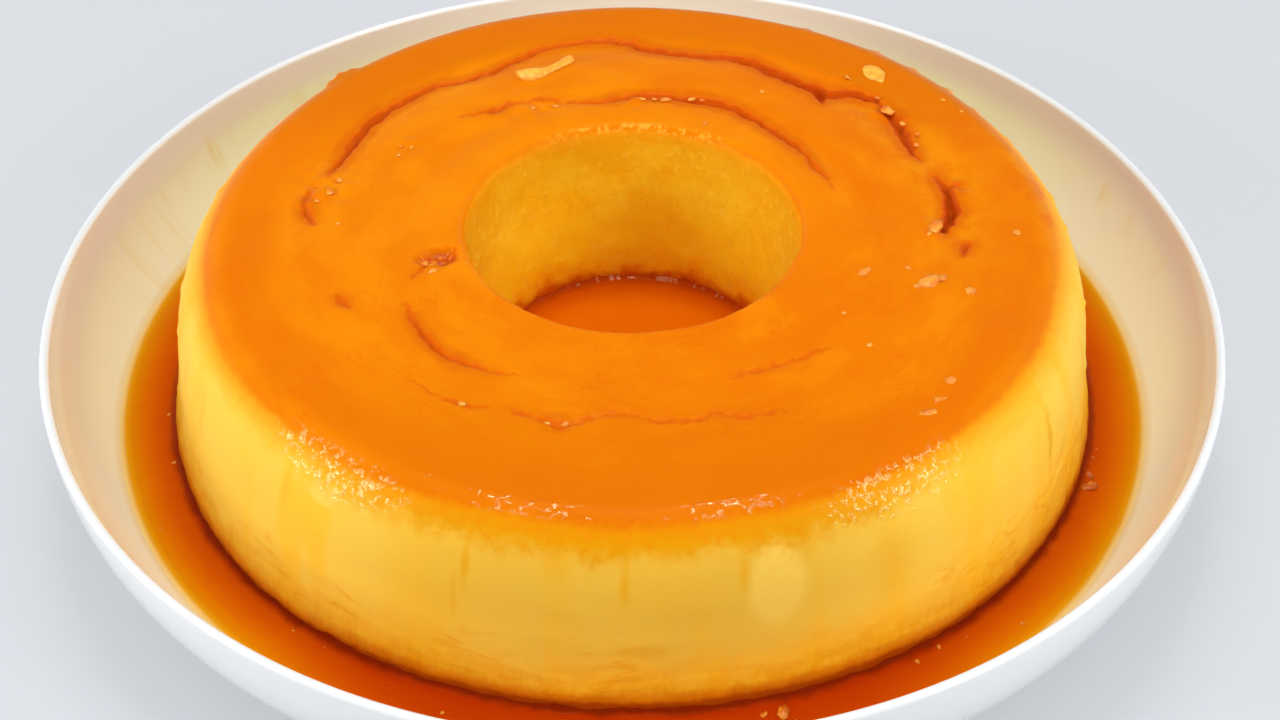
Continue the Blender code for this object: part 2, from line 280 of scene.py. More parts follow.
class Finish(Nodes):
    """One procedural material, built around a Principled shader. Its x, y, z and radius are in mm."""

    def __init__(self, name, **constants):
        self.material = bpy.data.materials.new(name)
        self.material.use_nodes = True
        super().__init__(self.material.node_tree)
        self.shader = self.tree.nodes["Principled BSDF"]
        for socket, value in constants.items():
            self.shader.inputs[socket.replace("_", " ")].default_value = value
        self.place = self.node("ShaderNodeTexCoord", outlet="Object")
        scaled = self.node("ShaderNodeVectorMath", {"operation": "DIVIDE"}, {0: self.place, 1: (MM, MM, MM)})
        self.x, self.y, self.z = [self.node("ShaderNodeSeparateXYZ", {}, {0: scaled}, i) for i in range(3)]

    @cached_property
    def radius(self):
        """Distance from the ring's axis."""
        return (self.x * self.x + self.y * self.y) ** 0.5

    @cached_property
    def east(self):
        """How far the direction from the axis is towards +X, from -1 to 1."""
        return self.x / self.radius

    @cached_property
    def north(self):
        """How far the direction from the axis is towards +Y, from -1 to 1."""
        return self.y / self.radius

    def noise(self, scale, detail=3.0, roughness=0.5, vector=None):
        """Smooth random values about 0.5. The scale is in lumps for each metre."""
        sockets = {"Vector": vector or self.place, "Scale": scale, "Detail": detail, "Roughness": roughness}
        return self.node("ShaderNodeTexNoise", {}, sockets)

    def round_noise(self, around, outwards, upwards, detail, roughness=0.5):
        """Noise that runs round the ring, in lumps for a radian, for a metre outwards and for one upwards."""
        depth = self.radius * (outwards * MM) + self.z * (upwards * MM)
        sockets = {0: self.east * around, 1: self.north * around, 2: depth}
        return self.noise(1.0, detail, roughness, self.node("ShaderNodeCombineXYZ", {}, sockets))

    def cells(self, scale):
        """Distance to the nearest of many scattered points, in cell widths."""
        return self.node("ShaderNodeTexVoronoi", {}, {"Vector": self.place, "Scale": scale})

    def mix(self, factor, first, second):
        """A colour between two others."""
        settings = {"data_type": "RGBA", "clamp_factor": True}
        first, second = [c if isinstance(c, Wire) else (*c, 1.0) for c in (first, second)]
        return self.node("ShaderNodeMix", settings, {0: factor, 6: first, 7: second}, outlet=2)

    def layered(self, colour, *layers):
        """A colour with others laid over it in turn. Each layer is its share, then its colour."""
        for share, tint in layers:
            colour = self.mix(share, colour, tint)
        return colour

    def ramp(self, value, stops):
        """A colour that runs through stops, each a value and a colour."""
        made = self.node("ShaderNodeValToRGB", {}, {0: value})
        elements = made.socket.node.color_ramp.elements
        while len(elements) < len(stops):
            elements.new(1.0)
        for element, (position, colour) in zip(elements, stops):
            element.position = position
            element.color = (*colour, 1.0)
        return made

    def attribute(self, name):
        return self.node("ShaderNodeAttribute", {"attribute_name": name}, outlet="Fac")

    def towards(self, degrees):
        """How far the direction from the axis is towards another, from -1 to 1."""
        angle = math.radians(degrees)
        way = self.node("ShaderNodeCombineXYZ", {}, {0: self.east, 1: self.north})
        return self.dot(way, (math.cos(angle), math.sin(angle), 0))

    def facing(self, degrees, spread, full=0):
        """1 in one direction from the axis and out to full degrees beside it, and 0 beyond a spread."""
        return self.towards(degrees).rise(math.cos(math.radians(spread)), math.cos(math.radians(full)))

    def spot(self, degrees, height, half_spread, half_height):
        """0 at a spot on the side and 1 at the edge of an ellipse about it, in degrees and mm."""
        squared_aside = (1 - self.towards(degrees)) * (2 / math.sin(math.radians(half_spread)) ** 2)
        up = (self.z - height) / half_height
        return (squared_aside + up * up) ** 0.5

    def bump(self, height, distance, strength=1.0):
        sockets = {"Height": height, "Distance": distance * MM, "Strength": strength}
        return self.node("ShaderNodeBump", {}, sockets)

    def film(self, share, **sockets):
        """Lays a wet film over part of the surface: a second shader, which shows where the share is 1."""
        named = {socket.replace("_", " "): value for socket, value in sockets.items()}
        wet = self.node("ShaderNodeBsdfPrincipled", {}, named)
        both = self.node("ShaderNodeMixShader", {}, {0: share, 1: Wire(self, self.shader.outputs[0]), 2: wet})
        self.tree.links.new(both.socket, self.tree.nodes["Material Output"].inputs["Surface"])

    def feed(self, **links):
        """Joins what changes over the surface to the shader."""
        for socket, wire in links.items():
            self.tree.links.new(wire.socket, self.shader.inputs[socket.replace("_", " ")])
        return self.material


# ---------------------------------------------------------------- shaping


def arc(centre, width, height, start, end, steps):
    """Points along an ellipse about centre = (radius, height), between two angles in degrees."""
    angles = np.radians(np.linspace(start, end, steps))
    return [(centre[0] + width * math.cos(a), centre[1] + height * math.sin(a)) for a in angles]


def line(start, end, steps):
    """Points along a straight run, without its last one."""
    return [tuple(p) for p in np.linspace(start, end, steps, endpoint=False)]


def piece_from(name, bm, finish, body="root", stands_for=()):
    """Makes a smooth object of a bmesh, which rides on a body and takes the place of the nodes named."""
    mesh = bpy.data.meshes.new(name)
    bmesh.ops.scale(bm, vec=(MM, MM, MM), verts=bm.verts)
    bm.to_mesh(mesh)
    bm.free()
    mesh.shade_smooth()
    mesh.materials.append(finish)
    made = bpy.data.objects.new(name, mesh)
    bpy.context.scene.collection.objects.link(made)
    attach(made, body)
    if stands_for:
        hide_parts(*stands_for)
    return made


def turned(profile, closed, steps):
    """A solid of revolution. An open profile starts and ends on the axis, and a closed one stays off it."""
    bm = bmesh.new()
    verts = [bm.verts.new((radius, 0, height)) for radius, height in profile]
    pairs = list(zip(verts, verts[1:]))
    if closed:
        pairs.append((verts[-1], verts[0]))
    edges = [bm.edges.new(pair) for pair in pairs]
    bmesh.ops.spin(bm, geom=verts + edges, axis=(0, 0, 1), angle=math.tau / 8, steps=steps // 8)
    # an eighth of the turn, doubled three times
    for turn in (math.tau / 8, math.tau / 4, math.tau / 2):
        doubled = bmesh.ops.duplicate(bm, geom=bm.verts[:] + bm.edges[:] + bm.faces[:])["geom"]
        moved = [part for part in doubled if isinstance(part, bmesh.types.BMVert)]
        bmesh.ops.rotate(bm, cent=(0, 0, 0), matrix=Matrix.Rotation(turn, 3, "Z"), verts=moved)
    bmesh.ops.remove_doubles(bm, verts=bm.verts, dist=1e-3)
    bmesh.ops.recalc_face_normals(bm, faces=bm.faces)
    return bm


def rumple(places, size, seed, octaves=2):
    """Smooth random values from about -1 to 1 at each place, with lumps of a size."""
    draw = np.random.default_rng(seed)
    lattice = draw.uniform(-1, 1, (LATTICE, LATTICE, LATTICE))
    tilt, _ = np.linalg.qr(draw.normal(size=(3, 3)))
    total, weight = np.zeros(len(places)), 1.0
    for octave in range(octaves):
        scaled = (places @ tilt) * (2**octave / size) + 7.31 * (octave + 1)
        cell = np.floor(scaled).astype(int)
        across = scaled - cell
        across = across * across * (3 - 2 * across)
        for corner in itertools.product((0, 1), repeat=3):
            share = np.prod(np.where(corner, across, 1 - across), axis=1)
            total += weight * share * lattice[tuple(((cell + corner) % LATTICE).T)]
        weight *= 0.5
    return total


def smooth_route(route, samples=9):
    """A route's rows of numbers, filled in with a Catmull-Rom curve."""
    rows = np.array(route, float)
    ends = np.vstack([2 * rows[0] - rows[1], rows, 2 * rows[-1] - rows[-2]])
    filled = []
    for i in range(len(rows) - 1):
        a, b, c, d = ends[i:i + 4]
        for t in np.linspace(0, 1, samples, endpoint=False):
            filled.append(0.5 * (2 * b + (c - a) * t + (2 * a - 5 * b + 4 * c - d) * t**2
                                 + (3 * b - a - 3 * c + d) * t**3))
    return np.array(filled + [rows[-1]])


def groove(flat, route):
    """How deep a crack is at each point of the flat top, how dark its syrup is, and how dark about it."""
    rows = smooth_route(route)
    angle = np.radians(rows[:, 0])
    path = np.stack([rows[:, 1] * np.cos(angle), rows[:, 1] * np.sin(angle)], 1)
    halves, depths = rows[:, 2], rows[:, 3]
    reach = halves.max() + HALO_WIDTH
    near = np.all((flat > path.min(0) - reach) & (flat < path.max(0) + reach), axis=1)
    depth, strength, halo = np.zeros((3, len(flat)))
    spots, deepest, strongest, widest = flat[near], depth[near], strength[near], halo[near]
    for i in range(len(rows) - 1):
        start, run = path[i], path[i + 1] - path[i]
        along = np.clip(((spots - start) @ run) / max(run @ run, 1e-6), 0, 1)
        away = np.linalg.norm(spots - start - along[:, None] * run, axis=1)
        half = halves[i] + (halves[i + 1] - halves[i]) * along
        deep = depths[i] + (depths[i + 1] - depths[i]) * along
        # a rounded V: steep at the lips, soft at the bottom
        share = ease(half - away, 0, half)
        bigger = np.abs(share * deep) > np.abs(deepest)
        deepest[bigger] = (share * deep)[bigger]
        stain = ease(1.4 * half + 0.4 - away, 0, 1.1 * half)
        strongest = np.maximum(strongest, stain * np.clip(np.abs(deep) / 2.6, 0.20, 1))
        spread = ease(half + HALO_WIDTH - away, 0, HALO_WIDTH)
        widest = np.maximum(widest, spread * np.clip(np.abs(deep) / 1.2, 0.1, 1))
    depth[near], strength[near], halo[near] = deepest, strongest, widest
    return depth, strength, halo


def store(mesh, name, values):
    """Keeps a value for each vertex as an attribute that materials can read."""
    kept = mesh.attributes.new(name, "FLOAT", "POINT")
    kept.data.foreach_set("value", np.asarray(values, np.float32))


def vertex_places(mesh):
    """Where a mesh's vertices are, in mm."""
    places = np.zeros(len(mesh.vertices) * 3, np.float32)
    mesh.vertices.foreach_get("co", places)
    return places.reshape(-1, 3).astype(float) / MM


def place_vertices(mesh, places):
    """Puts a mesh's vertices at places in mm."""
    mesh.vertices.foreach_set("co", (places * MM).astype(np.float32).ravel())
    mesh.update()


def polar(places):
    """Each place's distance from the axis, and its angle about it in radians."""
    return np.hypot(places[:, 0], places[:, 1]), np.arctan2(places[:, 1], places[:, 0])


def ease(values, low, high):
    """0 below low, 1 above high, and smooth between them."""
    share = np.clip((values - low) / (high - low), 0, 1)
    return share * share * (3 - 2 * share)


# ---------------------------------------------------------------- the bowl


def wall_height(radius):
    """Height of the bowl's inner surface at a radius from its axis."""
    if radius <= FLOOR_RADIUS:
        return FLOOR_HEIGHT
    across = (radius - FLOOR_RADIUS) / (WALL_INNER_RADIUS - FLOOR_RADIUS)
    return RIM_CENTRE - WALL_DEPTH * math.sqrt(1 - across**2)


def wall_radius(height):
    """Radius of the bowl's inner wall at a height."""
    down = (RIM_CENTRE - height) / WALL_DEPTH
    return FLOOR_RADIUS + (WALL_INNER_RADIUS - FLOOR_RADIUS) * math.sqrt(1 - down**2)


def bowl_finish():
    """White glazed porcelain, with a film of caramel and custard drying on the inner wall, and painted light
    that makes the back of the inner wall paler and yellower.
    """
    f = Finish("white_glazed_porcelain", IOR=1.5, Coat_Weight=0.4, Coat_Roughness=0.04)
    inside = f.attribute("inside") * f.radius.rise(WALL_INNER_RADIUS, WALL_INNER_RADIUS - 2)
    # painted light: the back of the inner wall is made paler and yellower, standing in for light that the
    # ring keeps from it
    back_wall_painted_light = inside * f.north.rise(0.2, 0.9)
    low = f.z.rise(BOWL_HEIGHT, CARAMEL_LEVEL)
    cloud = f.noise(22, 3)
    film = inside * (0.25 + 0.75 * low) * (0.75 + 0.5 * cloud)
    splashed = f.facing(146, 16) * f.z.rise(22, 30) + f.facing(163, 9) * 0.8 * low
    splashed = splashed + f.facing(17, 12) * f.z.rise(24, 32)
    smear = inside * f.round_noise(26, 0, 16, 4, 0.6).rise(0.52, 0.7) * splashed.held()
    tide = inside * f.z.rise(CARAMEL_LEVEL + 1.8, CARAMEL_LEVEL + 0.2)
    unglazed = f.z.rise(1.2, 0.3)
    speck = f.cells(420).rise(0.12, 0.03) * 0.15 * unglazed
    colour = f.layered(
        PORCELAIN,
        (film * 0.5, (0.95, 0.95, 0.54)),
        (back_wall_painted_light * 0.95, (0.87, 1.0, 0.70)),
        (smear * 0.5, (0.80, 0.62, 0.16)),
        (tide * 0.5, (0.82, 0.58, 0.16)),
        (unglazed * 0.6, (0.55, 0.51, 0.46)),
        (speck, (0.3, 0.26, 0.22)),
    )
    rough = 0.09 + 0.05 * cloud + smear * 0.18 + unglazed * 0.55
    orange_peel = f.noise(160, 2) * 0.6 + f.noise(900, 2) * 0.05
    return f.feed(Base_Color=colour, Roughness=rough, Normal=f.bump(orange_peel, 0.06))


def make_bowl():
    """The bowl, turned from its section: foot, outside, rim, inside and floor."""
    ring_inside = FOOT_RING_RADIUS - FOOT_RING_WIDTH
    foot = line((0, FOOT_RING_HEIGHT), (ring_inside - 2, FOOT_RING_HEIGHT), 10)
    foot += arc((ring_inside - 2, FOOT_RING_HEIGHT - 1), 1, 1, 90, 0, 4)[:-1]
    foot += arc((ring_inside, 1), 1, 1, 180, 270, 4)
    foot += arc((FOOT_RING_RADIUS - 1, 1), 1, 1, 270, 360, 5)
    outer_rise = RIM_CENTRE - WALL_START
    outer_run = BOWL_RADIUS - FOOT_RING_RADIUS
    outer = [(FOOT_RING_RADIUS + outer_run * math.sin(a) ** OUTER_FULLNESS,
              RIM_CENTRE - outer_rise * math.cos(a) ** OUTER_FULLNESS)
             for a in np.linspace(0, math.pi / 2, 36)]
    rim = arc((BOWL_RADIUS - RIM_ROUND, RIM_CENTRE), RIM_ROUND, RIM_ROUND, 0, 180, 13)
    inner_run = WALL_INNER_RADIUS - FLOOR_RADIUS
    inner = arc((FLOOR_RADIUS, RIM_CENTRE), inner_run, WALL_DEPTH, 0, -90, 34)
    floor = line((FLOOR_RADIUS, FLOOR_HEIGHT), (0, FLOOR_HEIGHT), 8)[1:] + [(0, FLOOR_HEIGHT)]
    bm = turned(foot + outer + rim[1:-1] + inner + floor, False, BOWL_STEPS)
    bowl = piece_from("porcelain_bowl", bm, bowl_finish(), stands_for=["dish"])
    places = vertex_places(bowl.data)
    heights = [wall_height(min(radius, WALL_INNER_RADIUS)) for radius in polar(places)[0]]
    store(bowl.data, "inside", np.abs(places[:, 2] - heights) < 0.3)
    return bowl


# ---------------------------------------------------------------- the custard ring


def blended(points, low, high, rounds):
    """Smooths away a corner in a run of (radius, height) points, between two heights."""
    points = np.array(points)
    inside = (points[:, 1] > low) & (points[:, 1] < high)
    inside[[0, -1]] = False
    for _ in range(rounds):
        around = (np.roll(points, 1, axis=0) + np.roll(points, -1, axis=0)) / 2
        points[inside] = (points[inside] + around[inside]) / 2
    return [tuple(p) for p in points]


def ring_profile():
    """The ring's section, finest where its top is cracked and its shoulder curves."""
    corner = (RING_RADIUS - FOOT_ROUND_WIDTH, RING_FOOT + FOOT_ROUND_HEIGHT)
    under = line((HOLE_FOOT_RADIUS, RING_FOOT), (corner[0], RING_FOOT), 3)
    foot = arc(corner, FOOT_ROUND_WIDTH, FOOT_ROUND_HEIGHT, -90, 0, 6)[:-1]
    side = line((RING_RADIUS, corner[1]), (RING_RADIUS, CARAMEL_LEVEL), 3)
    side += line((RING_RADIUS, CARAMEL_LEVEL), (SHOULDER_RADIUS, SHOULDER_START), 20)
    shoulder = arc((TOP_OUTER_RADIUS, SHOULDER_START), SHOULDER_WIDTH, SHOULDER_HEIGHT, 0, 90, 35)[:-1]
    outside = blended(side + shoulder, SHOULDER_START - 9, SHOULDER_START + 12, 30)
    top = line((TOP_OUTER_RADIUS, RING_TOP), (TOP_INNER_RADIUS, RING_TOP), 84)
    lip = arc((TOP_INNER_RADIUS, RING_TOP - LIP_HEIGHT), LIP_WIDTH, LIP_HEIGHT, 90, 180, 8)[:-1]
    neck = (HOLE_NECK_RADIUS, RING_TOP - LIP_HEIGHT)
    hole = line(neck, (HOLE_FOOT_RADIUS, CARAMEL_LEVEL), 26)
    hole += line((HOLE_FOOT_RADIUS, CARAMEL_LEVEL), (HOLE_FOOT_RADIUS, RING_FOOT), 2)
    return under + foot + outside + top + lip + hole


def tuck(turn):
    """How far the ring's foot draws in at the front, at angles in radians."""
    off_front = np.abs((turn + math.pi / 2 + math.pi) % math.tau - math.pi)
    return FRONT_TUCK * np.exp(-((off_front / math.radians(46)) ** 2))


def shape_ring(places):
    """Moves the turned ring's vertices to the baked custard's own uneven shape. Returns places and masks."""
    x, y, z = places.T
    radius, turn = polar(places)
    outward = np.stack([x, y, np.zeros_like(x)], 1) / radius[:, None]
    up = np.array([0.0, 0.0, 1.0])
    above = ease(z, CARAMEL_LEVEL - 1, CARAMEL_LEVEL + 4)
    on_top = ease(z, RING_TOP - 1.5, RING_TOP - 0.2) * ease(radius, 43, 47)
    outside = ease(radius, 60, 90)
    in_hole = 1 - ease(radius, HOLE_NECK_RADIUS + 1, HOLE_NECK_RADIUS + 4)

    # the top heaves, and sinks a little along the two long cracks at the back
    heave = 0.35 * rumple(places, 34, 1) + 0.10 * rumple(places, 11, 2)
    at_back = ease(np.sin(turn), -0.15, 0.5)
    trough = np.exp(-(((radius - LONG_CRACK_RADIUS) / 6.5) ** 2)) * at_back * 1.1
    trough += np.exp(-(((radius - INNER_CRACK_RADIUS) / 4.0) ** 2)) * at_back * 0.6
    lift = on_top * (heave - trough)

    # the cracks themselves, with ragged edges
    ragged = np.stack([rumple(places, 2.4, 3), rumple(places, 2.4, 4)], 1) * 0.75
    flat = places[:, :2] + ragged
    crack, syrup_and_shade_by_cracks = np.zeros((2, len(places)))
    for route in CRACKS:
        depth, strength, halo = groove(flat, route)
        lift -= on_top * depth
        crack = np.maximum(crack, strength * on_top)
        syrup_and_shade_by_cracks = np.maximum(syrup_and_shade_by_cracks, halo * on_top)
    lift -= on_top * groove(places[:, :2], CREASE)[0]
    crumpled = on_top * 1.5 * (0.2 + rumple(places, 3.0, 11, 1))
    for degrees, crumple_radius, size, height in CRUMPLES:
        away = np.linalg.norm(places - np.array(top_place(degrees, crumple_radius)), axis=1) / size
        lift += crumpled * height * np.exp(-away**2)

    # the pit beside the hole
    angle = math.radians(PIT_ANGLE)
    ahead = np.array([math.cos(angle), math.sin(angle)])
    away = places[:, :2] - ahead * PIT_RADIUS
    along, across = away @ ahead, away @ np.array([-ahead[1], ahead[0]])
    share = np.clip(1 - (along / PIT_LENGTH) ** 2 - (across / PIT_WIDTH) ** 2, 0, 1) ** 0.6
    pit = share * ease(z, RING_TOP - 2, RING_TOP)
    lift -= pit * PIT_DEPTH * (1 + 0.5 * rumple(places, 2.4, 5))

    # the side leans unevenly, and is wrinkled and pitted low down
    low, foot = 1 - ease(z, 22, 36), 1 - ease(z, 16, 23)
    flat_lumps, tall_lumps = places * np.array([1, 1, 2.6]), places * np.array([1, 1, 0.5])
    out = 0.55 * rumple(places, 45, 6) + 0.16 * rumple(flat_lumps, 9, 7) * (0.5 + 0.8 * low)
    out += 0.12 * rumple(flat_lumps, 3.5, 8) * (0.25 + low) + 0.32 * rumple(tall_lumps, 3.2, 12, 1) * foot
    out = outside * out + (0.25 * rumple(places, 7, 9) + 0.14 * rumple(places, 2.6, 10)) * in_hole
    out *= above * (1 - on_top)
    out -= tuck(turn) * outside * (1 - ease(z, CARAMEL_LEVEL, SHOULDER_START + 6))

    push = outward * out[:, None] + up * lift[:, None]
    for degrees, lump_radius, height, size, reach in LUMPS:
        centre = top_place(degrees, lump_radius, height - RING_TOP)
        near = np.linalg.norm(places - np.array(centre), axis=1) / size
        swell = np.exp(-near**2) * reach
        way = up if lump_radius < TOP_OUTER_RADIUS else outward + 0.35 * up
        push += way * (swell * above)[:, None]
    return places + push, crack, pit, syrup_and_shade_by_cracks


def custard_side(f, front):
    """Pale custard, yellower where syrup has run down it, with painted shade at the front. Golden and rough
    towards the foot.
    """
    mottle = f.noise(420, 4, 0.65)
    uneven = mottle - 0.5
    # painted shade: the front of the side is darkened where less light falls on it
    painted_front_shade = f.north.rise(-0.80, -0.99) * f.z.rise(18, 54)
    colour = f.layered(
        PALE_CUSTARD,
        (f.round_noise(9, 0, 14, 3, 0.55).rise(0.44, 0.64) * 0.8, (0.95, 0.53, 0.030)),
        (painted_front_shade * 0.8, (0.76, 0.425, 0.042)),
    )
    wander = uneven * 1.4
    for degrees, height, spread, tall, strength in RUNS:
        streak = (f.spot(degrees, height, spread, tall) + wander).rise(1.1, 0.1)
        colour = f.mix(streak * (strength * 0.75), colour, (0.78, 0.36, 0.004))
    pale = (f.spot(-74, 47.5, 3.4, 10) + wander * 0.3).rise(1.2, 0.7) * 0.45
    pale = pale + (f.spot(-127.6, 54.5, 2.2, 2.6) + wander * 0.5).rise(1.2, 0.7) * 0.6

    wavy = (f.noise(45, 3) - 0.5) * 12 - f.east * 2.5
    soaked = (f.z + wavy).rise(35, 18)
    creases = f.round_noise(7, 0, 190, 2)
    crease_line = (creases - 0.5).size().rise(0.05, 0.0) * f.noise(60, 2).rise(0.46, 0.6)
    rough_foot = (f.z + wavy * 0.4).rise(33, 19)
    fibres = f.round_noise(60, 0, 210, 3, 0.6)
    drawn_up = f.z + wavy * 0.12 + uneven * 1.5 - front * 0.7
    colour = f.layered(
        colour,
        (pale, (0.95, 0.66, 0.13)),
        (soaked * (0.65 + 0.2 * front), (0.93, 0.42, 0.002)),
        (crease_line * f.z.rise(40, 30) * 0.5, (0.84, 0.33, 0.002)),
        (rough_foot * fibres.rise(0.5, 0.66) * 0.35, (0.86, 0.34, 0.003)),
        (rough_foot * fibres.rise(0.5, 0.36) * 0.3, (0.98, 0.60, 0.05)),
        (drawn_up.rise(21.2, 16.8) * 0.8, (0.68, 0.145, 0.001)),
        (drawn_up.rise(17.7, 16.0) * 0.8, (0.38, 0.036, 0.0005)),
    )
    return colour, (mottle * 0.4 + creases * 0.5 + fibres * 0.6) * f.z.rise(33, 19), rough_foot


def hole_wall(f, level):
    """Speckled yellow, with amber soaked up from the caramel. Painted light makes it lighter at the back, at
    the right and low down, and darker near the top.
    """
    cloud = f.noise(75, 3).rise(0.35, 0.65)
    # painted light: the back and the right of the wall are made lighter than the left
    back, right = f.y.rise(-4, 36), f.x.rise(-8, 36)
    uneven = f.noise(150, 4) - 0.5
    return f.layered(
        f.mix(cloud, (0.70, 0.25, 0.002), (0.76, 0.34, 0.008)),
        (right * 0.5, (0.84, 0.43, 0.020)),
        (back * 0.9, f.mix(cloud, (1.0, 0.56, 0.004), (1.0, 0.70, 0.020))),
        (f.noise(900, 3, 0.7).rise(0.45, 0.62) * 0.3, (0.96, 0.60, 0.04)),
        (f.noise(700, 2).rise(0.56, 0.68) * 0.2, (0.70, 0.24, 0.002)),
        # painted shade near the top of the wall, and painted light lower down, most at the back
        (f.z.rise(34, 58) * 0.55, (0.78, 0.35, 0.006)),
        (f.z.rise(48, 30) * (0.3 + 0.4 * back), (1.0, 0.58, 0.008)),
        (f.noise(380, 3, 0.6).rise(0.54, 0.66) * 0.35, (1.0, 0.64, 0.05)),
        ((f.z + uneven * 16).rise(26, 16) * 0.5, (0.92, 0.28, 0.002)),
        ((f.z + uneven * 9).rise(20, 15.6), (0.66, 0.11, 0.001)),
        (level.rise(RING_TOP - 8, RING_TOP - 3.5) * 0.5, (0.88, 0.34, 0.004)),
    )


def glaze_colour(f, syrup_and_shade_by_cracks):
    """Translucent orange, darker near the outer edge, and darker beside the cracks, where syrup has gathered
    and shade is painted.
    """
    streaks = f.round_noise(3.2, 95, 0, 4, 0.55)
    thin = f.facing(18, 40, 10) * f.radius.rise(70, 76) * f.noise(95, 4, 0.6).rise(0.46, 0.56)
    inner = f.radius.rise(60, 44) * f.north.rise(-0.9, 0.5)
    beyond = f.radius.rise(84, 90) * f.y.rise(25, 60)
    outer_band = f.radius.rise(84, 95) * f.radius.rise(104.5, 99)
    crepe = (f.round_noise(7, 420, 0, 4, 0.6) - 0.5).size().rise(0.03, 0.0) * f.noise(60, 2).rise(0.48, 0.6)
    fore = f.north.rise(-0.6, -0.97) * f.radius.rise(60, 92)
    # darker beside the cracks: syrup gathered there, and painted shade of the troughs
    syrup_and_painted_shade = (syrup_and_shade_by_cracks + (f.noise(90, 3) - 0.5) * 0.5).rise(0.15, 0.95)
    return f.layered(
        GLAZE,
        (f.x.rise(42, -63) * 0.8, (0.79, 0.230, 0.0006)),
        (f.x.rise(49, 105) * 0.8, (0.71, 0.195, 0.0004)),
        (f.noise(14, 2).rise(0.4, 0.65) * 0.5, (0.76, 0.190, 0.0003)),
        (streaks.rise(0.54, 0.40) * 0.35, (0.69, 0.135, 0.0001)),
        (streaks.rise(0.54, 0.66) * 0.45, (0.81, 0.245, 0.0010)),
        (thin * 0.55, (0.78, 0.265, 0.0020)),
        (inner * 0.6, (0.79, 0.235, 0.0006)),
        (f.y.rise(72, 96).most(beyond) * 0.8, (0.605, 0.156, 0.0001)),
        (outer_band * 0.55, (0.70, 0.140, 0.0001)),
        (crepe * f.north.rise(0.1, -0.7) * 0.4, (0.68, 0.110, 0.0002)),
        (fore * 0.6, (0.655, 0.150, 0.0001)),
        (syrup_and_painted_shade * 0.75, (0.63, 0.118, 0.0003)),
    )


def wet_masks(f, level, uneven, flecks):
    """Where wet film is crumpled on the shoulder and wrinkled in front, and where a painted highlight of pale
    flecks lies on the lip. And the film's relief.
    """
    wrinkles = f.round_noise(24, 620, 500, 2) - 0.5
    shoulder = f.radius.rise(102.6, 105.2)
    patches = f.spot(-127, 59.8, 9, 5.2).least(f.spot(-57.5, 59.4, 9.5, 5.4))
    crumpled = (patches + uneven * 1.6).rise(1.15, 0.7) * shoulder * flecks.rise(0.01, 0.07)
    band = f.radius.rise(100.2, 101.4) * f.radius.rise(105.6, 104.2)
    ends = f.facing(-103.5, 7.5, 6).most(f.facing(-77.8, 6.5, 5)).most(f.noise(260, 2).rise(0.62, 0.66) * 0.7)
    wrinkled = band * ends * f.north.rise(-0.86, -0.90) * f.noise(190, 2).rise(0.40, 0.46)
    wrinkled = wrinkled * wrinkles.rise(0.0, 0.03) * wrinkles.rise(0.11, 0.07)
    on_lip = level.rise(RING_TOP - 2.6, RING_TOP - 1.8) * level.rise(RING_TOP, RING_TOP - 0.5)
    # painted highlight: pale flecks along the back of the hole's lip, where the lights would glint
    painted_lip_glints = on_lip * f.radius.rise(50, 47) * f.facing(88, 40, 14) * flecks.rise(0.0, 0.09)
    return crumpled, wrinkled, painted_lip_glints, flecks * 2.0 * shoulder + wrinkles * 1.3 * band


